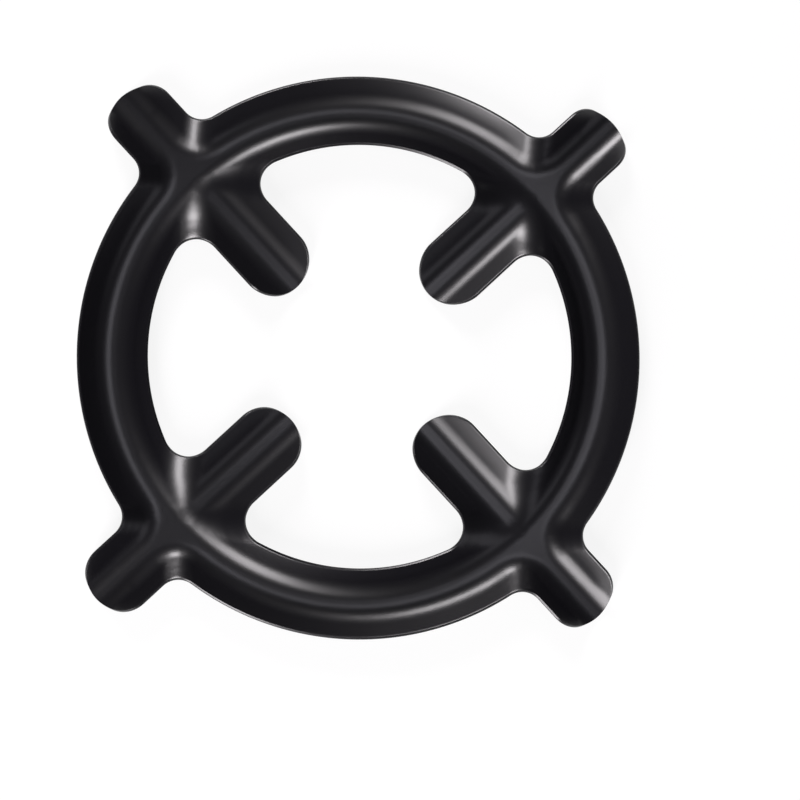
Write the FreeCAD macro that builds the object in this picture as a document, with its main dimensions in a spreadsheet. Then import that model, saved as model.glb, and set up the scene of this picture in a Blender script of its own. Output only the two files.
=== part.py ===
"""Gas hob reducer ring: one steel sheet pressed into a round channel with arms across it.

The channel is open upwards and the part lies on the floor of its ring. Two solids make it.
The form fills the open channel, as the press tool does, and its rounded underside shapes
the sheet. The blank is the outline of the part, as tall as the form. Where the two meet,
the underside is the inside skin of the sheet, and the sheet is that skin with its thickness
added, so every cut edge stands square to the sheet.

Both solids have their first arm and tab along X. The finished part is turned so that its
arms lie on the diagonals, and lifted so that its lowest face is at height 0.
"""
import FreeCAD, Part

import math
import os

import Sketcher
from FreeCAD import Placement, Rotation, Vector

doc = FreeCAD.newDocument("gas_hob_reducer_ring")

# Driving dimensions, in millimetres and degrees
dimensions = {
    "ring_outer_diameter": 158.0,  # over the outer cut edge
    "ring_width": 19.6,  # of the ring's channel, from cut edge to cut edge
    "sheet_thickness": 0.8,
    "ring_depth": 6.8,  # inside depth of the ring and the tabs
    "arm_step": 1.0,  # height of the arm floors above the ring floor
    "ring_floor_width": 7.4,  # of ring and tabs, to where the flanks would meet the floor
    "arm_floor_width": 7.0,  # of an arm, to where its flanks would meet the floor
    "floor_corner_radius": 7.0,  # inside corner between floor and flank
    "arm_count": 4,  # arms inside the ring, with as many tabs outside it
    "arm_width": 19.9,  # over the cut edges
    "arm_length": 32.9,  # from the ring's inner edge to the end of an arm
    "tab_width": 22.0682293,  # over the cut edges
    "tab_length": 21.0,  # from the ring's outer edge to the end of a tab
    "arm_notch_radius": 7.0,  # corner of the outline between arm and ring
    "tab_notch_radius": 5.1658854,  # corner of the outline between tab and ring
    "arm_blend_radius": 10.5,  # soft crossing of an arm and the ring
    "tab_blend_radius": 9.0,  # soft crossing of a tab and the ring
    "form_rise": 5.0,  # form above the rim, clear of the cut edges
    "form_overrun": 2.0,  # form past the ends of arms and tabs
    "arm_angle": 45.0,  # direction of the first arm in the finished part
}
sizes = doc.addObject("Spreadsheet::Sheet", "Sizes")
for row, (alias, value) in enumerate(dimensions.items(), 1):
    sizes.set(f"A{row}", alias.replace("_", " "))
    sizes.set(f"B{row}", str(value))
    sizes.setAlias(f"B{row}", alias)
doc.recompute()

# Lengths that several features share, as expressions
FORM_HEIGHT = "Sizes.ring_depth + Sizes.form_rise"
OUTER_RADIUS = "Sizes.ring_outer_diameter / 2"
INNER_RADIUS = f"{OUTER_RADIUS} - Sizes.ring_width"
FLOOR_RADIUS = f"{OUTER_RADIUS} - Sizes.ring_width / 2"
TAB_TIP = f"{OUTER_RADIUS} + Sizes.tab_length"
ARM_TIP = f"{INNER_RADIUS} - Sizes.arm_length"

# Names for the Sketcher's own numbers: ends of a line, centre of an arc, origin and axes
START, END, CENTRE = 1, 2, 3
ORIGIN = (-1, START)
HORIZONTAL_AXIS, VERTICAL_AXIS = -1, -2

# How closely a position has to agree when an edge or a face is looked up
SAME = 1e-4

QUARTER_TURN = math.pi / 2


def work_out(expression):
    """The number that an expression on the sheet gives."""
    return float(sizes.evalExpression(expression))


def origin_item(body, role):
    """An origin plane or axis of a body."""
    return next(item for item in body.Origin.OriginFeatures if item.Role == role)


def new_sketch(body, name, role, offset=None):
    """An empty sketch on an origin plane of the body, moved along the plane's normal."""
    sketch = body.newObject("Sketcher::SketchObject", name)
    sketch.AttachmentSupport = (origin_item(body, role), [""])
    sketch.MapMode = "FlatFace"
    if offset is not None:
        sketch.setExpression("AttachmentOffset.Base.z", offset)
    return sketch


def add_line(sketch, start, end, construction=False):
    """A line between two (x, y) points of the sketch."""
    return sketch.addGeometry(Part.LineSegment(Vector(*start), Vector(*end)), construction)


def add_arc(sketch, centre, radius, first, last):
    """An arc, counterclockwise, with its two angles in radians."""
    circle = Part.Circle(Vector(*centre), Vector(0, 0, 1), radius)
    return sketch.addGeometry(Part.ArcOfCircle(circle, first, last), False)


def rule(sketch, kind, *where):
    """A geometric constraint."""
    return sketch.addConstraint(Sketcher.Constraint(kind, *where))


def bind(sketch, kind, where, expression):
    """A dimension whose value follows an expression, and starts at its value."""
    index = sketch.addConstraint(Sketcher.Constraint(kind, *where, work_out(expression)))
    sketch.setExpression(f"Constraints[{index}]", expression)


def report_x(sketch, name, point):
    """A named dimension that only reports the x of a point, for other sketches to follow."""
    index = sketch.addConstraint(Sketcher.Constraint("DistanceX", *ORIGIN, *point, 1.0))
    sketch.setDriving(index, False)
    sketch.renameConstraint(index, name)


def join_corners(sketch, lines):
    """Join lines end to end into a closed outline."""
    for line, following in zip(lines, lines[1:] + lines[:1]):
        rule(sketch, "Coincident", line, END, following, START)


def cut_edge(sketch, flank, rim, corner, half_width, name):
    """The cut edge of the sheet at the rim of a flank.

    It is square to the flank and one sheet thickness long, and its outer corner lies where
    the finished width says. The name gives the rim of the inside skin.
    """
    edge = add_line(sketch, rim, corner, construction=True)
    rule(sketch, "PointOnObject", edge, START, flank)
    rule(sketch, "Perpendicular", edge, flank)
    bind(sketch, "DistanceY", ORIGIN + (edge, START), "Sizes.ring_depth")
    bind(sketch, "Distance", (edge,), "Sizes.sheet_thickness")
    bind(sketch, "DistanceX", ORIGIN + (edge, END), half_width)
    report_x(sketch, name, (edge, START))


def ring_section(body):
    """Section of the form through the ring: a floor, two flanks and the flat top.

    It is drawn halfway between two arms, so that the seam of the turned faces runs clear of
    the crossings.
    """
    outer = work_out(OUTER_RADIUS)
    inner = work_out(INNER_RADIUS)
    middle = work_out(FLOOR_RADIUS)
    half_floor = sizes.ring_floor_width / 2
    depth = sizes.ring_depth
    top = depth + sizes.form_rise
    sheet = sizes.sheet_thickness
    sketch = new_sketch(body, "RingSection", "XZ_Plane")
    sketch.AttachmentOffset = Placement(Vector(0, 0, 0), Rotation(Vector(0, 1, 0), sizes.arm_angle))
    sketch.setExpression("AttachmentOffset.Rotation.Angle", "180 / Sizes.arm_count")
    floor = add_line(sketch, (middle - half_floor, 0), (middle + half_floor, 0))
    outer_flank = add_line(sketch, (middle + half_floor, 0), (outer + depth / 2, top))
    lid = add_line(sketch, (outer + depth / 2, top), (inner - depth / 2, top))
    inner_flank = add_line(sketch, (inner - depth / 2, top), (middle - half_floor, 0))
    join_corners(sketch, [floor, outer_flank, lid, inner_flank])
    rule(sketch, "PointOnObject", floor, START, HORIZONTAL_AXIS)
    rule(sketch, "Horizontal", floor)
    rule(sketch, "Horizontal", lid)
    bind(sketch, "DistanceX", ORIGIN + (floor, START), f"{FLOOR_RADIUS} - Sizes.ring_floor_width / 2")
    bind(sketch, "DistanceX", ORIGIN + (floor, END), f"{FLOOR_RADIUS} + Sizes.ring_floor_width / 2")
    bind(sketch, "DistanceY", ORIGIN + (lid, START), FORM_HEIGHT)
    cut_edge(sketch, outer_flank, (outer - sheet, depth), (outer, depth - sheet),
             OUTER_RADIUS, "outer_rim")
    cut_edge(sketch, inner_flank, (inner + sheet, depth), (inner, depth - sheet),
             INNER_RADIUS, "inner_rim")
    return sketch


def tab_section(body):
    """Section of the form across a tab, with the same floor and depth as the ring."""
    half_width = sizes.tab_width / 2
    half_floor = sizes.ring_floor_width / 2
    depth = sizes.ring_depth
    top = depth + sizes.form_rise
    sheet = sizes.sheet_thickness
    # The flank starts through its rim, so that the cut edge turns outwards
    half_top = half_floor + (half_width - sheet - half_floor) * top / depth
    sketch = new_sketch(body, "TabSection", "YZ_Plane", FLOOR_RADIUS)
    floor = add_line(sketch, (-half_floor, 0), (half_floor, 0))
    flank = add_line(sketch, (half_floor, 0), (half_top, top))
    lid = add_line(sketch, (half_top, top), (-half_top, top))
    other_flank = add_line(sketch, (-half_top, top), (-half_floor, 0))
    join_corners(sketch, [floor, flank, lid, other_flank])
    rule(sketch, "PointOnObject", floor, START, HORIZONTAL_AXIS)
    rule(sketch, "Symmetric", floor, START, floor, END, VERTICAL_AXIS)
    rule(sketch, "Symmetric", lid, START, lid, END, VERTICAL_AXIS)
    bind(sketch, "Distance", (floor,), "Sizes.ring_floor_width")
    bind(sketch, "DistanceY", ORIGIN + (lid, START), FORM_HEIGHT)
    cut_edge(sketch, flank, (half_width - sheet, depth), (half_width, depth - sheet),
             "Sizes.tab_width / 2", "half_rim")
    return sketch


def arm_section(body):
    """Section of the form across an arm, shallower than the ring, its floor corners round."""
    half_width = sizes.arm_width / 2
    half_floor = sizes.arm_floor_width / 2
    radius = sizes.floor_corner_radius
    flat = half_floor / 3
    depth = sizes.ring_depth
    step = sizes.arm_step
    top = depth + sizes.form_rise
    half_top = half_width + sizes.form_rise
    sheet = sizes.sheet_thickness
    sketch = new_sketch(body, "ArmSection", "YZ_Plane", FLOOR_RADIUS)
    floor = add_line(sketch, (-flat, step), (flat, step))
    corner = add_arc(sketch, (flat, step + radius), radius, -QUARTER_TURN, -QUARTER_TURN / 2)
    flank = add_line(sketch, (half_floor + radius / 4, step + radius / 4), (half_top, top))
    lid = add_line(sketch, (half_top, top), (-half_top, top))
    other_flank = add_line(sketch, (-half_top, top), (-half_floor - radius / 4, step + radius / 4))
    other_corner = add_arc(sketch, (-flat, step + radius), radius, -1.5 * QUARTER_TURN, -QUARTER_TURN)
    rule(sketch, "Tangent", floor, END, corner, START)
    rule(sketch, "Tangent", corner, END, flank, START)
    rule(sketch, "Coincident", flank, END, lid, START)
    rule(sketch, "Coincident", lid, END, other_flank, START)
    rule(sketch, "Tangent", other_flank, END, other_corner, START)
    rule(sketch, "Tangent", other_corner, END, floor, START)
    rule(sketch, "Equal", corner, other_corner)
    rule(sketch, "Symmetric", floor, START, floor, END, VERTICAL_AXIS)
    rule(sketch, "Symmetric", lid, START, lid, END, VERTICAL_AXIS)
    bind(sketch, "Radius", (corner,), "Sizes.floor_corner_radius")
    bind(sketch, "DistanceY", ORIGIN + (floor, START), "Sizes.arm_step")
    bind(sketch, "DistanceY", ORIGIN + (lid, START), FORM_HEIGHT)
    sharp_corner = sketch.addGeometry(Part.Point(Vector(half_floor, step, 0)), True)
    rule(sketch, "PointOnObject", sharp_corner, START, floor)
    rule(sketch, "PointOnObject", sharp_corner, START, flank)
    bind(sketch, "DistanceX", ORIGIN + (sharp_corner, START), "Sizes.arm_floor_width / 2")
    cut_edge(sketch, flank, (half_width - sheet, depth), (half_width, depth - sheet),
             "Sizes.arm_width / 2", "half_rim")
    return sketch


def pad(body, name, sketch, length, toward_axis=False):
    """Pad a section along the arm, away from the part's axis or towards it."""
    feature = body.newObject("PartDesign::Pad", name)
    feature.Profile = sketch
    feature.Reversed = toward_axis
    feature.setExpression("Length", length)
    return feature


def around_the_ring(body, name, feature):
    """Repeat a feature around the part's axis, once for each arm."""
    pattern = body.newObject("PartDesign::PolarPattern", name)
    pattern.Originals = [feature]
    pattern.Axis = (origin_item(body, "Z_Axis"), [""])
    pattern.Angle = 360
    pattern.setExpression("Occurrences", "Sizes.arm_count")
    body.Tip = pattern
    doc.recompute()
    return pattern


def edges_between(shape, first, second):
    """Names of the edges where a face of the first kind meets one of the second kind."""
    names = []
    for number, edge in enumerate(shape.Edges, 1):
        faces = shape.ancestorsOfType(edge, Part.Face)
        if len(faces) != 2:
            continue
        one, other = faces
        if (first(one) and second(other)) or (first(other) and second(one)):
            names.append(f"Edge{number}")
    return names


def is_plane(face):
    return isinstance(face.Surface, Part.Plane)


def is_turned(face):
    """A face that is turned about the part's axis: a flank or a floor corner of the ring."""
    return isinstance(face.Surface, (Part.Cone, Part.Toroid))


def is_floor(face):
    """The floor of ring and tabs, at height 0 in the form."""
    return is_plane(face) and face.BoundBox.ZMax < SAME


def is_lid(face):
    """The flat top of the form."""
    top = sizes.ring_depth + sizes.form_rise
    return is_plane(face) and face.BoundBox.ZMin > top - SAME


def is_upright(face):
    """An end or a wall: a plane or a round wall that stands along Z."""
    if is_plane(face):
        return abs(face.Surface.Axis.z) < SAME
    return isinstance(face.Surface, Part.Cylinder) and abs(face.Surface.Axis.z) > 1 - SAME


def is_straight_flank(face):
    """A flank of an arm or a tab."""
    return is_plane(face) and SAME < abs(face.Surface.Axis.z) < 1 - SAME


def is_arm_face(face):
    """A face that runs along an arm or a tab: its flanks, floor corners and raised floor."""
    if is_plane(face):
        return not (is_floor(face) or is_lid(face) or is_upright(face))
    return isinstance(face.Surface, Part.Cylinder) and abs(face.Surface.Axis.z) < SAME


def rises_from_floor(face):
    return not (is_floor(face) or is_upright(face))


def fillet(body, name, base, edges, radius):
    """Round the named edges of a feature."""
    feature = body.newObject("PartDesign::Fillet", name)
    feature.Base = (base, edges)
    feature.setExpression("Radius", radius)
    body.Tip = feature
    doc.recompute()
    return feature


def channel_form():
    """The solid that fills the open channel of ring, tabs and arms."""
    body = doc.addObject("PartDesign::Body", "ChannelForm")
    ring = body.newObject("PartDesign::Revolution", "RingForm")
    ring.Profile = ring_section(body)
    ring.ReferenceAxis = (ring.Profile[0], ["V_Axis"])
    ring.Angle = 360
    tab_reach = f"{TAB_TIP} + Sizes.form_overrun - ({FLOOR_RADIUS})"
    tab = pad(body, "TabForm", tab_section(body), tab_reach)
    tabs = around_the_ring(body, "TabForms", tab)

    # Tabs leave the ring at its own depth: the flanks blend first, then one corner radius
    # runs round the whole floor
    crossings = edges_between(tabs.Shape, is_turned, is_straight_flank)
    blended = fillet(body, "TabBlends", tabs, crossings, "Sizes.tab_blend_radius")
    floor_edges = edges_between(blended.Shape, is_floor, rises_from_floor)
    fillet(body, "FloorCorners", blended, floor_edges, "Sizes.floor_corner_radius")

    # Arms are shallower, so each one opens into the side of the finished ring channel, and
    # one blend runs up one flank, across the mouth and up the other
    arm_reach = f"{FLOOR_RADIUS} - ({ARM_TIP}) + Sizes.form_overrun"
    arm = pad(body, "ArmForm", arm_section(body), arm_reach, toward_axis=True)
    arms = around_the_ring(body, "ArmForms", arm)
    inside = work_out(FLOOR_RADIUS)
    mouths = [name for name in edges_between(arms.Shape, is_turned, is_arm_face)
              if distance_from_axis(arms.Shape.getElement(name)) < inside]
    fillet(body, "ArmBlends", arms, mouths, "Sizes.arm_blend_radius")
    return body


def distance_from_axis(edge):
    """How far the middle of an edge is from the part's axis."""
    middle = edge.valueAt((edge.FirstParameter + edge.LastParameter) / 2)
    return Vector(middle.x, middle.y, 0).Length


def ring_outline(body):
    """Outline of the ring: two circles at the rims of the inside skin."""
    sketch = new_sketch(body, "RingOutline", "XY_Plane")
    for rim in ("outer_rim", "inner_rim"):
        radius = f"RingSection.Constraints.{rim} / 1 mm"
        start = Part.Circle(Vector(0, 0, 0), Vector(0, 0, 1), work_out(radius))
        circle = sketch.addGeometry(start, False)
        rule(sketch, "Coincident", circle, CENTRE, *ORIGIN)
        bind(sketch, "Radius", (circle,), radius)
    return sketch


def strip_outline(body, name, tip, section, outward):
    """Outline of a tab or an arm: a strip from the ring's middle to a round end."""
    rim = f"{section}.Constraints.half_rim / 1 mm"
    end_centre = f"{tip} {'-' if outward else '+'} {rim}"
    half_width = work_out(rim)
    middle = work_out(FLOOR_RADIUS)
    centre = work_out(end_centre)
    side = 1 if outward else -1
    first = -side * QUARTER_TURN
    sketch = new_sketch(body, name, "XY_Plane")
    near_line = add_line(sketch, (middle, -side * half_width), (centre, -side * half_width))
    round_end = add_arc(sketch, (centre, 0), half_width, first, first + 2 * QUARTER_TURN)
    far_line = add_line(sketch, (centre, side * half_width), (middle, side * half_width))
    closing = add_line(sketch, (middle, side * half_width), (middle, -side * half_width))
    rule(sketch, "Tangent", near_line, END, round_end, START)
    rule(sketch, "Tangent", round_end, END, far_line, START)
    rule(sketch, "Coincident", far_line, END, closing, START)
    rule(sketch, "Coincident", closing, END, near_line, START)
    rule(sketch, "Vertical", closing)
    rule(sketch, "Horizontal", near_line)
    rule(sketch, "Horizontal", far_line)
    rule(sketch, "PointOnObject", round_end, CENTRE, HORIZONTAL_AXIS)
    bind(sketch, "Radius", (round_end,), rim)
    bind(sketch, "DistanceX", ORIGIN + (closing, START), FLOOR_RADIUS)
    bind(sketch, "DistanceX", ORIGIN + (round_end, CENTRE), end_centre)
    return sketch


def blank_pad(body, name, sketch):
    """Pad an outline past the form's floor and past its lid."""
    feature = body.newObject("PartDesign::Pad", name)
    feature.Profile = sketch
    feature.SideType = "Symmetric"
    feature.setExpression("Length", f"2 * ({FORM_HEIGHT} + Sizes.form_overrun)")
    return feature


def edges_on_rim(shape, rim):
    """Names of the upright edges that stand on a rim of the ring: the notch corners."""
    names = []
    for number, edge in enumerate(shape.Edges, 1):
        upright = isinstance(edge.Curve, Part.Line) and abs(edge.Curve.Direction.z) > 1 - SAME
        if upright and abs(distance_from_axis(edge) - rim) < SAME:
            names.append(f"Edge{number}")
    return names


def blank():
    """The outline of the inside skin, as a tall solid."""
    body = doc.addObject("PartDesign::Body", "Blank")
    blank_pad(body, "RingBlank", ring_outline(body))
    tab_sketch = strip_outline(body, "TabOutline", TAB_TIP, "TabSection", outward=True)
    around_the_ring(body, "TabBlanks", blank_pad(body, "TabBlank", tab_sketch))
    arm_sketch = strip_outline(body, "ArmOutline", ARM_TIP, "ArmSection", outward=False)
    strips = around_the_ring(body, "ArmBlanks", blank_pad(body, "ArmBlank", arm_sketch))
    outer = work_out("RingSection.Constraints.outer_rim / 1 mm")
    inner = work_out("RingSection.Constraints.inner_rim / 1 mm")
    # The notch corners of the skin are larger than those of the part by the lean of the edge
    tab_lean = "Sizes.tab_width / 2 - TabSection.Constraints.half_rim / 1 mm"
    arm_lean = "Sizes.arm_width / 2 - ArmSection.Constraints.half_rim / 1 mm"
    outside = fillet(body, "TabNotches", strips, edges_on_rim(strips.Shape, outer),
                     f"Sizes.tab_notch_radius + {tab_lean}")
    fillet(body, "ArmNotches", outside, edges_on_rim(outside.Shape, inner),
           f"Sizes.arm_notch_radius + {arm_lean}")
    return body


def pressed_sheet(form, outline):
    """The sheet: the form's underside inside the outline, with its thickness added below."""
    trimmed = doc.addObject("Part::Common", "TrimmedForm")
    trimmed.Base = form
    trimmed.Tool = outline
    doc.recompute()
    skin = doc.addObject("Part::Feature", "InsideSkin")
    skin.Shape = Part.Shell([face for face in trimmed.Shape.Faces
                             if not (is_lid(face) or is_upright(face))])
    sheet = doc.addObject("Part::Offset", "PressedRing")
    sheet.Label = "pressed_ring"
    sheet.Source = skin
    sheet.Mode = "Skin"
    sheet.Join = "Arc"
    sheet.Fill = True
    sheet.setExpression("Value", "Sizes.sheet_thickness")
    sheet.Placement = Placement(Vector(0, 0, sizes.sheet_thickness),
                                Rotation(Vector(0, 0, 1), sizes.arm_angle))
    doc.recompute()
    return sheet


def check(nodes):
    """Stop if any object failed, or if a node isn't one valid closed solid."""
    for item in doc.Objects:
        if "Invalid" in item.State or "Error" in item.State:
            raise RuntimeError(f"{item.Name} did not compute: {item.State}")
        if item.isDerivedFrom("Sketcher::SketchObject") and not item.FullyConstrained:
            raise RuntimeError(f"{item.Name} is not fully constrained")
    for node in nodes:
        shape = node.Shape
        if shape.isNull() or not shape.isValid() or len(shape.Solids) != 1:
            raise RuntimeError(f"{node.Label} is not one valid solid")
        if not shape.Solids[0].isClosed():
            raise RuntimeError(f"{node.Label} is not closed")


nodes = [pressed_sheet(channel_form(), blank())]
check(nodes)
os.makedirs("parts", exist_ok=True)
for node in nodes:
    node.Shape.exportStep(f"parts/{node.Label}.step")
    print(node.Label, "volume", round(node.Shape.Volume, 1), "faces", len(node.Shape.Faces))
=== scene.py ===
# %% [markdown]
# # A gas hob reducer ring, pressed from one sheet of steel
# The ring is a blank that was cut from a flat sheet and then pressed into a channel: a round
# one, with four short arms inside it and four tabs outside it. The CAD model is the frame that
# everything here has to fit, so it is loaded first.

# %% Load the frame
import math

import bpy
import numpy as np
from mathutils import Matrix, Vector


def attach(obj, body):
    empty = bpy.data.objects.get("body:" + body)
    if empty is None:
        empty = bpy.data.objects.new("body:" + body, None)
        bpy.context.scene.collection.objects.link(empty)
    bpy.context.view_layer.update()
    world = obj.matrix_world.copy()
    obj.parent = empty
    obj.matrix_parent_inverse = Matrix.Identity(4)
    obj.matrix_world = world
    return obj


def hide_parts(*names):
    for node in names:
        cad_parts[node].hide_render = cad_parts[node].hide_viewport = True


MM = 0.001
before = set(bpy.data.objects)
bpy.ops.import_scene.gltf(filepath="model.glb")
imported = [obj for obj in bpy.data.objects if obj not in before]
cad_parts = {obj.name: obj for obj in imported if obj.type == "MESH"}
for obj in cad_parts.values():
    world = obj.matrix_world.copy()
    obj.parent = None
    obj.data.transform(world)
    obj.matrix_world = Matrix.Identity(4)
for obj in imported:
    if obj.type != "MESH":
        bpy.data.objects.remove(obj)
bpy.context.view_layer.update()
print("Nodes of the frame:", list(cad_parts))

# %% [markdown]
# ## The sizes of the press tool
# All lengths are in millimetres. A section across a channel is a flat floor with two sloping
# flanks, and the flanks end at the rim. A finished width is measured over the cut edges. The
# cut edge is square to the flank, so the inside of the sheet ends a little before the finished
# width. How much before depends on the slope, and the slope depends on where it ends, so a few
# rounds of the same sum settle it. The CAD model has the same sizes, apart from its tabs, which
# are wider than the real ones. Here the tabs have the width that the photo gives.

# %% Sizes and sections
SHEET = 0.8  # thickness of the steel
OUTER = 79.0  # radius of the ring's outer edge
MIDDLE = 69.2  # radius of the middle of its channel
DEPTH = 6.8  # from the ring's rim down to its floor, inside the channel
ARM_STEP = 1.0  # height of the arms' floors over the ring's floor
RING_FLOOR = 3.7  # half the floor of ring and tabs, to the line where it meets the flank
ARM_FLOOR = 3.5  # the same in the arms
TAB_HALF = 9.9  # half the finished width
ARM_HALF = 9.95
FLOOR_CORNER = 7.0  # radius of the round corner where a flank rises from the floor
TIP = {"tab": 100.0, "arm": 26.5}  # from the axis to the end of each strip
NOTCH = {"tab": 6.3, "arm": 7.0}  # radius of the outline's corner beside each strip
BLEND = {"tab": 9.0, "arm": 10.5}  # radius of the ridge between its flank and the ring's
ROUNDS = 20


def section(half_floor, half_width, depth, step=0.0):
    """Half a section across a channel: floor, slope of the flank, rim and lean of its edge."""
    rim = half_width - SHEET
    for _ in range(ROUNDS):
        slope = math.atan2(depth, rim - half_floor)
        rim = half_width - SHEET * math.sin(slope)
    lean = half_width - rim
    return {"floor": half_floor, "slope": slope, "rim": rim, "lean": lean, "step": step}


RING = section(RING_FLOOR, OUTER - MIDDLE, DEPTH)
TAB = section(RING_FLOOR, TAB_HALF, DEPTH)
ARM = section(ARM_FLOOR, ARM_HALF, DEPTH - ARM_STEP, step=ARM_STEP)
for name, part in (("ring", RING), ("tab", TAB), ("arm", ARM)):
    print(name, "flanks rise at", round(math.degrees(part["slope"]), 1), "degrees")


# %% [markdown]
# ## The height of one channel
# Blender's Bevel tool rounds straight edges well, but here two channels cross, and the ridge
# between them is curved and dies out at the rim. So the height of every point is worked out
# instead. One channel alone is easy: a flat floor, an arc that turns up from it and a straight
# flank. It is as high at a point as the point's distance from the channel's middle says.

# %% One channel
def trough(distance, part, corner=0.0):
    """Height of a channel at a distance from its middle, with round corners at its floor."""
    slope = part["slope"]
    start = part["floor"] - corner * math.tan(slope / 2)
    end = start + corner * math.sin(slope)
    inside_arc = np.clip(distance - start, 0.0, corner * math.sin(slope))
    arc = corner - np.sqrt(corner**2 - inside_arc**2)
    return part["step"] + arc + np.maximum(distance - end, 0.0) * math.tan(slope)


print("Height of the ring's rim:", round(float(trough(RING["rim"], RING, FLOOR_CORNER)), 2), "mm")

# %% [markdown]
# ## Rolling balls
# Where two channels cross, the lower one wins, which leaves a sharp ridge. The press rounds it,
# and so does a ball that is rolled along beneath a fine map of the heights, if the map is then
# lowered to what the ball reaches. A ball rolled above the map fills the corner between floor
# and flank in the same way. The ball touches a slope at its radius times the sine of the slope
# from its middle, so points further away than the steepest flank asks for aren't looked at.

# %% Rolling balls
CELL = 0.25  # from one point of the map to the next
STEEPEST = 0.82  # sine of an angle a little over the steepest flank
ROUNDING = 1e-9  # more than the sums' own error


def lowest_of(heights, cells, profile):
    """For each point of the map, the lowest of its neighbours, each raised by the profile."""
    rows, columns = heights.shape
    best = np.full((rows - 2 * cells, columns - 2 * cells), np.inf)
    for down in range(2 * cells + 1):
        for across in range(2 * cells + 1):
            if np.isfinite(profile[down, across]):
                near = heights[down:rows - 2 * cells + down, across:columns - 2 * cells + across]
                np.minimum(best, near + profile[down, across], out=best)
    return best


def roll_ball(heights, radius, beneath):
    """Round the ridges of the map with a ball beneath it, or its valleys with one above."""
    cells = math.ceil(radius * STEEPEST / CELL)
    offset = CELL * np.arange(-cells, cells + 1)
    away = offset[:, None]**2 + offset[None, :]**2
    reach = (cells * CELL)**2 + ROUNDING
    profile = np.where(away <= reach, radius - np.sqrt(np.maximum(radius**2 - away, 0)), np.inf)
    side = 1 if beneath else -1
    top = lowest_of(side * heights, cells, profile)
    return -side * lowest_of(-top, cells, profile)


print("The balls round slopes of up to", round(math.degrees(math.asin(STEEPEST)), 1), "degrees")

# %% [markdown]
# ## The map of the crossing
# The map lies round the crossing of the ring with one strip, which runs along X: a tab outside
# the ring, an arm inside it. Its ridges and corners are rounded in the order that the CAD model
# has: first the ridge beside the tab, then the corner at the floor, and last the ridge beside
# the arm. Each ball eats a border off the map, so the map starts with a margin that is wide
# enough for all three.

# %% The map of the crossing
MAP_X = (46.0, 90.0)
MAP_Y = (0.0, 23.0)
SPARE_CELLS = 8
MARGIN = 2 * STEEPEST * (FLOOR_CORNER + BLEND["tab"] + BLEND["arm"]) + SPARE_CELLS * CELL


def trimmed(grid, smaller):
    """The middle of a grid, as large as a smaller one."""
    border = (grid.shape[0] - smaller.shape[0]) // 2
    return grid[border:-border, border:-border]


def crossing_map():
    """The map's first X and Y, and its heights."""
    x = np.arange(MAP_X[0] - MARGIN, MAP_X[1] + MARGIN, CELL)
    y = np.arange(MAP_Y[0] - MARGIN, MAP_Y[1] + MARGIN, CELL)
    x, y = np.meshgrid(x, y, indexing="ij")
    radius = np.hypot(x, y)
    ring = trough(np.abs(radius - MIDDLE), RING)
    tab = np.where(radius > MIDDLE, trough(np.abs(y), TAB), np.inf)
    rounded = roll_ball(np.minimum(ring, tab), BLEND["tab"], beneath=True)
    rounded = roll_ball(rounded, FLOOR_CORNER, beneath=False)
    arm = trough(trimmed(np.abs(y), rounded), ARM, FLOOR_CORNER)
    arm = np.where(trimmed(radius, rounded) < MIDDLE, arm, np.inf)
    whole = roll_ball(np.minimum(rounded, arm), BLEND["arm"], beneath=True)
    outside = trimmed(radius, whole) > MIDDLE
    whole = np.where(outside, trimmed(rounded, whole), whole)
    return trimmed(x, whole)[0, 0], trimmed(y, whole)[0, 0], whole


map_x, map_y, crossing = crossing_map()
print("Map of the crossing:", crossing.shape, "points, from", round(map_x, 2), round(map_y, 2))

# %% [markdown]
# ## The height at any point
# Away from the crossing the formula of one channel is exact. On the map, the height comes from
# the four points round the place, each with its share.

# %% The height at any point
SHORT_OF_END = 1.001  # cells from the map's end, so that there is always a next point


def height(x, y):
    """Height of the inside of the sheet over a point, with an arm along X."""
    radius = np.hypot(x, y)
    ring = trough(np.abs(radius - MIDDLE), RING, FLOOR_CORNER)
    strip = np.where(radius > MIDDLE, trough(y, TAB, FLOOR_CORNER), trough(y, ARM, FLOOR_CORNER))
    plain = np.minimum(ring, strip)
    column = np.clip((x - map_x) / CELL, 0, crossing.shape[0] - SHORT_OF_END)
    row = np.clip((y - map_y) / CELL, 0, crossing.shape[1] - SHORT_OF_END)
    i, j = column.astype(int), row.astype(int)
    along, across = column - i, row - j
    near = crossing[i, j] * (1 - along) + crossing[i + 1, j] * along
    far = crossing[i, j + 1] * (1 - along) + crossing[i + 1, j + 1] * along
    mapped = near * (1 - across) + far * across
    on_map = (x > MAP_X[0]) & (x < MAP_X[1]) & (y < MAP_Y[1])
    return np.where(on_map, mapped, plain)


middle_height = height(np.array([MIDDLE]), np.array([0.0]))[0]
print("Height in the middle of the crossing:", round(middle_height, 3), "mm")

# %% [markdown]
# ## The outline of the flat blank
# The outline of the blank repeats eight times: from the middle of an arm to halfway between
# two arms, and its mirror image. So one eighth is drawn as chains of points: one along the cut
# edge and one along the middle of the channel, for the tab's side of the ring and for the
# arm's. Each station has a point in both chains. The cut edge follows the ring's rim, turns
# through a round notch into the strip, runs straight and ends in half a circle.

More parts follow.
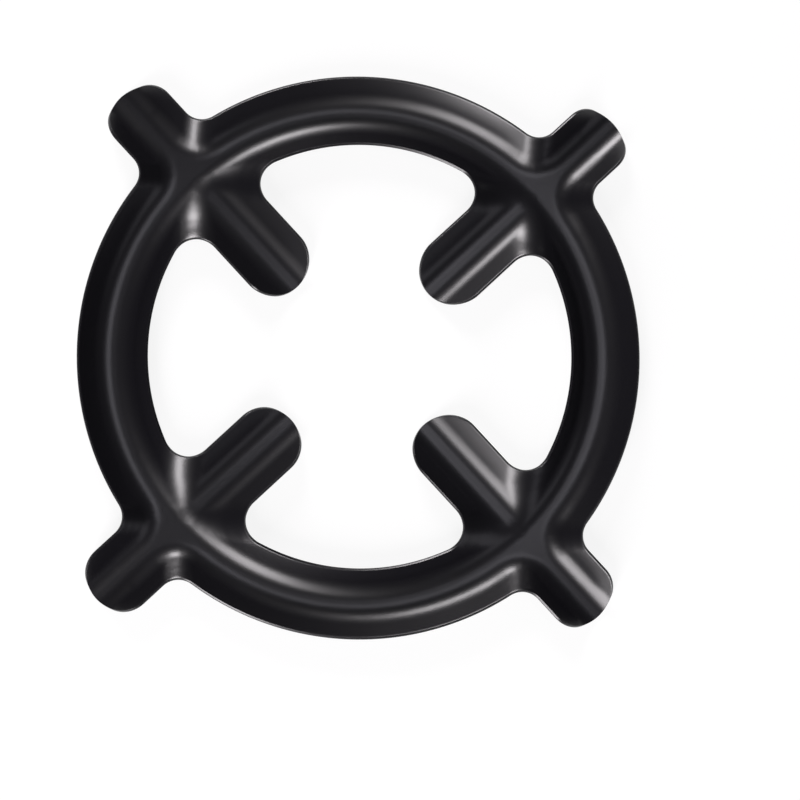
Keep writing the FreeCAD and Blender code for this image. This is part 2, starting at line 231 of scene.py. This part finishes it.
# %% Two chains of points
QUARTER = math.pi / 2
BETWEEN_ARMS = 45  # degrees from an arm to the middle between two arms
CLOSE_BELOW = 20  # degrees from an arm, within which the stations lie closer together
FAR_STATIONS = 18
NEAR_STATIONS = 20
NOTCH_STATIONS = 14
STRAIGHT_STATIONS = 8
TIP_STATIONS = 18
LAST_SLIVER = 0.4  # from the end of the middle chain to the tip, so that no face has zero width
RING_STATIONS = [*np.linspace(BETWEEN_ARMS, CLOSE_BELOW, FAR_STATIONS, endpoint=False),
                 *np.linspace(CLOSE_BELOW, 0, NEAR_STATIONS + 1)]


def on_circle(radius, angle, centre=(0.0, 0.0)):
    """A point of a circle, with the angle in radians."""
    return (centre[0] + radius * math.cos(angle), centre[1] + radius * math.sin(angle))


def shares(stations):
    """Shares of a stretch up to each of its stations, the last of which is 1."""
    return np.linspace(0, 1, stations + 1)[1:]


def chains(strip, part, side):
    """The cut edge and the middle line of half a strip. Side is 1 outside the ring, -1 inside."""
    rim = MIDDLE + side * RING["rim"]
    half = part["rim"]
    notch = NOTCH[strip] + part["lean"]
    notch_y = half + notch
    notch_x = math.sqrt((rim + side * notch)**2 - notch_y**2)
    notch_angle = math.atan2(notch_y, notch_x)
    first = notch_angle + (math.pi if side > 0 else 0)
    last = 3 * QUARTER if side > 0 else -QUARTER
    halfway = (first + last) / 2
    edge, middle = [], []
    # The ring's stations go halfway round the notch, and stations of its own go the rest
    for angle in np.radians(RING_STATIONS):
        share = 1 - angle / notch_angle
        on_notch = on_circle(notch, first + share * (halfway - first), (notch_x, notch_y))
        edge.append(on_circle(rim, angle) if share < 0 else on_notch)
        middle.append(on_circle(MIDDLE, angle))
    for share in shares(NOTCH_STATIONS):
        edge.append(on_circle(notch, halfway + share * (last - halfway), (notch_x, notch_y)))
        middle.append((MIDDLE + share * (notch_x - MIDDLE), 0.0))
    tip_x = TIP[strip] - side * half
    for share in shares(STRAIGHT_STATIONS):
        x = notch_x + share * (tip_x - notch_x)
        edge.append((x, half))
        middle.append((x, 0.0))
    for share in shares(TIP_STATIONS):
        edge.append(on_circle(half, QUARTER * (1 - side * share), (tip_x, 0.0)))
        middle.append((tip_x + side * share * (half - LAST_SLIVER), 0.0))
    return edge, middle


# %% [markdown]
# ## From chains to faces
# Bridge Edge Loops fills the strip between the two chains with rows of faces that run along
# the channel. That way the faces follow the bends, and the light slides along them as it does
# on the real press work. A grid of squares would cut across the bends and ripple.

# %% One eighth of the blank
CUTS = 24  # lines of points between the two chains


def select_only(piece):
    """Make one object the only one that operators act on."""
    bpy.ops.object.select_all(action="DESELECT")
    piece.select_set(True)
    bpy.context.view_layer.objects.active = piece


def bridged_strip(strip, part, side):
    """Half a strip of the blank as rows of faces between its two chains."""
    edge, middle = chains(strip, part, side)
    points = [(x * MM, y * MM, 0.0) for x, y in edge + middle]
    count = len(edge)
    links = [(i, i + 1) for i in range(2 * count - 1) if i != count - 1]
    mesh = bpy.data.meshes.new(strip)
    mesh.from_pydata(points, links, [])
    piece = bpy.data.objects.new(strip, mesh)
    bpy.context.collection.objects.link(piece)
    select_only(piece)
    bpy.ops.object.mode_set(mode="EDIT")
    bpy.ops.mesh.select_all(action="SELECT")
    bpy.ops.mesh.bridge_edge_loops(number_cuts=CUTS, interpolation="LINEAR")
    bpy.ops.object.mode_set(mode="OBJECT")
    return piece


sheet = bridged_strip("tab", TAB, side=1)
inner_half = bridged_strip("arm", ARM, side=-1)
print("Faces in one eighth:", len(sheet.data.polygons) + len(inner_half.data.polygons))

# %% [markdown]
# ## From one eighth to the whole blank
# The two halves are joined, mirrored across the arm, and then Spin with duplicates places the
# other three arms. Where two copies meet, their points coincide, and Merge by Distance joins
# them, so that the sheet is one surface. Its faces are turned to look up.

# %% Mirror and spin
ARMS = 4
SAME_PLACE = 0.002 * MM
sheet.name = "pressed_sheet"
select_only(sheet)
inner_half.select_set(True)
bpy.ops.object.join()
bpy.ops.object.modifier_add(type="MIRROR")
mirror = sheet.modifiers[-1]
mirror.use_axis = (False, True, False)
mirror.merge_threshold = SAME_PLACE
bpy.ops.object.modifier_apply(modifier=mirror.name)
bpy.ops.object.mode_set(mode="EDIT")
bpy.ops.mesh.select_all(action="SELECT")
bpy.ops.mesh.spin(
    steps=ARMS - 1, dupli=True, angle=(ARMS - 1) * QUARTER, center=(0, 0, 0), axis=(0, 0, 1))
bpy.ops.mesh.select_all(action="SELECT")
bpy.ops.mesh.remove_doubles(threshold=SAME_PLACE)
bpy.ops.mesh.normals_make_consistent(inside=False)
bpy.ops.object.mode_set(mode="OBJECT")
if sheet.data.polygons[0].normal.z < 0:
    sheet.data.flip_normals()
print("Faces in the blank:", len(sheet.data.polygons))

# %% [markdown]
# ## The pressing
# Every point keeps its place in the plan and is pushed to its height. By symmetry each point is
# looked up in the one eighth that the map covers. The floor of the channel lies on the ground,
# so the inside of the sheet starts one thickness above it. The arms lie along X and Y up to
# here, and on the frame's diagonals afterwards.

# %% Press the blank
DIAGONAL = math.radians(45)
count = len(sheet.data.vertices)
places = np.empty(3 * count)
sheet.data.vertices.foreach_get("co", places)
places = places.reshape(count, 3)
radius = np.hypot(places[:, 0], places[:, 1]) / MM
turn = (np.arctan2(places[:, 1], places[:, 0]) + QUARTER / 2) % QUARTER - QUARTER / 2
level = height(radius * np.cos(turn), np.abs(radius * np.sin(turn)))
places[:, 2] = (level + SHEET) * MM
sheet.data.vertices.foreach_set("co", places.ravel())
sheet.data.transform(Matrix.Rotation(DIAGONAL, 4, "Z"))
sheet.data.update()
print("Heights inside the channel:", round(level.min(), 2), "to", round(level.max(), 2), "mm")

# %% [markdown]
# ## The thickness and the edges
# Solidify gives the sheet its thickness below the pressed surface, square to it, which also
# makes the cut edges square to the sheet. A small Bevel takes the sharpness off those edges, as
# a coating does. Its angle limit leaves the soft bends of the press work alone.

# %% Thicken and round the edges
EDGE_ROUND = 0.14
EDGE_SEGMENTS = 2
EDGE_ANGLE = math.radians(60)
SMOOTH_ANGLE = math.radians(50)
select_only(sheet)
bpy.ops.object.modifier_add(type="SOLIDIFY")
solidify = sheet.modifiers[-1]
solidify.thickness = SHEET * MM
solidify.offset = -1
solidify.use_even_offset = True
solidify.use_quality_normals = True
bpy.ops.object.modifier_apply(modifier=solidify.name)
bpy.ops.object.modifier_add(type="BEVEL")
bevel = sheet.modifiers[-1]
bevel.width = EDGE_ROUND * MM
bevel.segments = EDGE_SEGMENTS
bevel.limit_method = "ANGLE"
bevel.angle_limit = EDGE_ANGLE
bpy.ops.object.modifier_apply(modifier=bevel.name)
bpy.ops.object.shade_smooth_by_angle(angle=SMOOTH_ANGLE)
print("Faces in the sheet:", len(sheet.data.polygons))

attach(sheet, "root")
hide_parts("pressed_ring")


# %% [markdown]
# ## Shader sums
# The coating, the floor and the world are all made of shader nodes, and some of their values
# are sums. Sums are easier to read in Python's own signs than as a list of Math nodes, so a
# small class wraps a socket and lets the signs add the nodes.

# %% A class for shader sums
class Wire:
    """One output socket that Python's operators can do sums on, or None just to add nodes."""

    def __init__(self, tree, value):
        self.tree = tree
        self.value = value

    def node(self, kind, settings, inputs):
        """Add any node: its settings first, then the numbers or wires of its inputs."""
        made = self.tree.nodes.new(kind)
        for name, setting in settings.items():
            setattr(made, name, setting)
        for name, given in inputs.items():
            if isinstance(given, Wire):
                self.tree.links.new(given.value, made.inputs[name])
            else:
                made.inputs[name].default_value = given
        return made

    def sum(self, operation, first, second):
        """Add a Math node for two numbers or wires."""
        made = self.node("ShaderNodeMath", {"operation": operation}, {0: first, 1: second})
        return Wire(self.tree, made.outputs[0])

    def __add__(self, other):
        return self.sum("ADD", self, other)

    def __radd__(self, other):
        return self.sum("ADD", other, self)

    def __sub__(self, other):
        return self.sum("SUBTRACT", self, other)

    def __rsub__(self, other):
        return self.sum("SUBTRACT", other, self)

    def __mul__(self, other):
        return self.sum("MULTIPLY", self, other)

    def __rmul__(self, other):
        return self.sum("MULTIPLY", other, self)


# %% [markdown]
# ## The coating
# The real part has a satin black coating: nearly black, with soft wide highlights and a very
# fine grain. A fine Noise texture gives the grain, as a shallow bump and a small change of
# gloss, and a broad one makes the gloss wander a little, as it does where the coating is
# thicker or thinner. Both read Object coordinates, so they keep their size in millimetres.

# %% The satin black coating
BLACK = (0.0036, 0.0034, 0.0047, 1.0)
ROUGHNESS = 0.32
GRAIN_SIZE = 0.35 * MM
GRAIN_GLOSS = 0.03  # how much the roughness changes with the grain
GRAIN_DEPTH = 0.05 * MM
GRAIN_STRENGTH = 0.12
DRIFT_SIZE = 22 * MM
DRIFT_GLOSS = 0.05
AVERAGE = 0.5  # of a noise texture


def noise(start, coordinates, size, detail):
    """A noise texture whose grains are about one size across."""
    made = start.node("ShaderNodeTexNoise", {}, {
        "Vector": coordinates, "Scale": 1 / size, "Detail": detail})
    return Wire(start.tree, made.outputs["Fac"])


def satin_black():
    """Nearly black, with a soft gloss and a fine grain."""
    material = bpy.data.materials.new("satin_black_coating")
    material.use_nodes = True
    tree = material.node_tree
    shader = tree.nodes["Principled BSDF"]
    shader.inputs["Base Color"].default_value = BLACK
    start = Wire(tree, None)
    place = Wire(tree, start.node("ShaderNodeTexCoord", {}, {}).outputs["Object"])
    grain = noise(start, place, GRAIN_SIZE, detail=2.0)
    drift = noise(start, place, DRIFT_SIZE, detail=3.0)
    roughness = ROUGHNESS + DRIFT_GLOSS * (drift - AVERAGE) + GRAIN_GLOSS * (grain - AVERAGE)
    tree.links.new(roughness.value, shader.inputs["Roughness"])
    bump = start.node("ShaderNodeBump", {}, {
        "Strength": GRAIN_STRENGTH, "Distance": GRAIN_DEPTH, "Height": grain})
    tree.links.new(bump.outputs["Normal"], shader.inputs["Normal"])
    return material


coating = satin_black()
sheet.data.materials.clear()
sheet.data.materials.append(coating)
print("Nodes in the coating:", len(coating.node_tree.nodes))

# %% [markdown]
# ## A white floor that keeps its shadow
# The photo shows the ring on plain white. More light would make the floor white, but it would
# also wash out the black coating. So the floor's whiteness is its own: for the rays that come
# straight from the camera, and for those that a surface mirrors or lets through, the floor
# glows white by nearly its whole share. The small rest is its ordinary painted surface, which
# still shows the soft shadow beside the ring. Light Path tells these kinds of ray apart.

# %% Floor
WHITE = (1.0, 1.0, 1.0, 1.0)
FLOOR_SIDE = 12.0  # metres, so that the floor fills every view that looks down on the ring
FLOOR_PAINT = 0.86
FLOOR_ROUGHNESS = 0.6
GLOW_SHARE = 0.88


def white_floor():
    """White by its own glow, with a share of paint that takes the shadow."""
    material = bpy.data.materials.new("white_floor")
    material.use_nodes = True
    tree = material.node_tree
    painted = tree.nodes["Principled BSDF"]
    painted.inputs["Base Color"].default_value = (FLOOR_PAINT, FLOOR_PAINT, FLOOR_PAINT, 1.0)
    painted.inputs["Roughness"].default_value = FLOOR_ROUGHNESS
    start = Wire(tree, None)
    rays = start.node("ShaderNodeLightPath", {}, {}).outputs
    seen = Wire(tree, rays["Is Camera Ray"]) + Wire(tree, rays["Is Glossy Ray"])
    seen = seen + Wire(tree, rays["Is Transmission Ray"])
    glow = start.node("ShaderNodeEmission", {}, {"Color": WHITE, "Strength": 1.0})
    mix = start.node("ShaderNodeMixShader", {}, {
        0: GLOW_SHARE * seen,
        1: Wire(tree, painted.outputs["BSDF"]),
        2: Wire(tree, glow.outputs["Emission"])})
    tree.links.new(mix.outputs["Shader"], tree.nodes["Material Output"].inputs["Surface"])
    return material


bpy.ops.object.select_all(action="DESELECT")
bpy.ops.mesh.primitive_plane_add(size=FLOOR_SIDE, location=(0, 0, 0))
floor = bpy.context.object
floor.name = "floor"
floor.data.materials.append(white_floor())
print("Floor of", FLOOR_SIDE, "m, with", GLOW_SHARE, "of its whiteness its own")

# %% [markdown]
# ## A dark room
# The flanks that face right are nearly black in the photo, so the room round the ring was dark,
# and the world adds very little light. In a level view the camera sees past the floor's edge,
# so the world is white for the camera, and for it alone: in reflections a white room would turn
# the black coating grey.

# %% World
FILL = 0.05


def white_room():
    """White for the camera, and a faint fill for everything else."""
    world = bpy.data.worlds.new("studio")
    world.use_nodes = True
    tree = world.node_tree
    background = tree.nodes["Background"]
    background.inputs["Color"].default_value = WHITE
    start = Wire(tree, None)
    rays = start.node("ShaderNodeLightPath", {}, {}).outputs
    strength = FILL + (1 - FILL) * Wire(tree, rays["Is Camera Ray"])
    tree.links.new(strength.value, background.inputs["Strength"])
    return world


bpy.context.scene.world = white_room()
print("World:", bpy.context.scene.world.name, "with a fill of", FILL)

# %% [markdown]
# ## Four soft lamps
# A satin black surface shows little but reflections, so its lamps are placed by the bright
# bands on the ring. The bands say that a tall, narrow light stood in front on the left, from
# near the floor to over halfway up, and a smaller one behind on the left. A weak panel overhead
# draws the thin line along the floor of the channel, and a broad, faint one fills from the
# right.

# %% Lamps
LAMP_DISTANCE = 0.8  # metres, from the ring's middle
WARM_WHITE = (1.0, 0.96, 0.985)
COOL_WHITE = (0.93, 0.91, 1.0)


def softbox(name, azimuth, elevation, size, power, colour):
    """A soft lamp that looks at the ring. Azimuth is counted from +X to +Y, size is wide, tall."""
    turn, rise = math.radians(azimuth), math.radians(elevation)
    place = LAMP_DISTANCE * Vector((
        math.cos(rise) * math.cos(turn), math.cos(rise) * math.sin(turn), math.sin(rise)))
    bpy.ops.object.light_add(type="AREA", location=place)
    lamp = bpy.context.object
    lamp.name = name
    lamp.rotation_euler = (-place).to_track_quat("-Z", "Y").to_euler()
    lamp.data.shape = "RECTANGLE"
    lamp.data.size, lamp.data.size_y = size
    lamp.data.energy = power
    lamp.data.color = colour
    print(name, "at", [round(c, 2) for c in place], "with", power, "W")


softbox("left_front", 246, 30, size=(0.24, 0.82), power=10.8, colour=WARM_WHITE)
softbox("left_back", 108, 28, size=(0.28, 0.30), power=6.8, colour=WARM_WHITE)
softbox("overhead", 18, 79, size=(0.26, 0.26), power=0.68, colour=COOL_WHITE)
softbox("right_fill", 325, 23, size=(0.50, 0.50), power=0.6, colour=COOL_WHITE)

# %% [markdown]
# ## The camera
# The camera looks down on the ring from about half a metre, a few degrees off the vertical
# towards the lower left of the photo. Its place was found by fitting the ring's outlines in the
# photo. The ring sits off the middle of the photo, which is the lens shift.

# %% Camera
IMAGE = 800.0  # pixels along each side of the photo
SENSOR = 36.0
EDGE_LEVEL = 7.1  # height of the ring's outer edge, where the camera aims at the axis
VIEW_DISTANCE = 480.0  # from there to the camera
PIXELS_PER_MM = 3.572  # in the photo, at that height
RING_PIXEL = (361.46, 354.92)  # the axis in the photo, at that height
TILT = math.radians(5.664)
TILT_TOWARDS = math.radians(223.71)
ROLL = math.radians(2.415)
NEAREST = 0.01  # metres
tilt_axis = Vector((-math.sin(TILT_TOWARDS), math.cos(TILT_TOWARDS), 0))
tilted = Matrix.Rotation(ROLL, 4, "Z") @ Matrix.Rotation(TILT, 4, tilt_axis)
pose = tilted @ Matrix.Translation((0, 0, VIEW_DISTANCE * MM))
bpy.ops.object.camera_add()
camera = bpy.context.object
camera.matrix_world = Matrix.Translation((0, 0, EDGE_LEVEL * MM)) @ pose
camera.data.sensor_width = SENSOR
camera.data.lens = PIXELS_PER_MM * VIEW_DISTANCE * SENSOR / IMAGE
camera.data.shift_x = (IMAGE / 2 - RING_PIXEL[0]) / IMAGE
camera.data.shift_y = (RING_PIXEL[1] - IMAGE / 2) / IMAGE
camera.data.clip_start = NEAREST
bpy.context.scene.camera = camera
bpy.context.scene.view_settings.view_transform = "Standard"
print("Camera at", [round(c / MM, 1) for c in camera.location], "mm")
print("Lens:", round(camera.data.lens, 2), "mm")
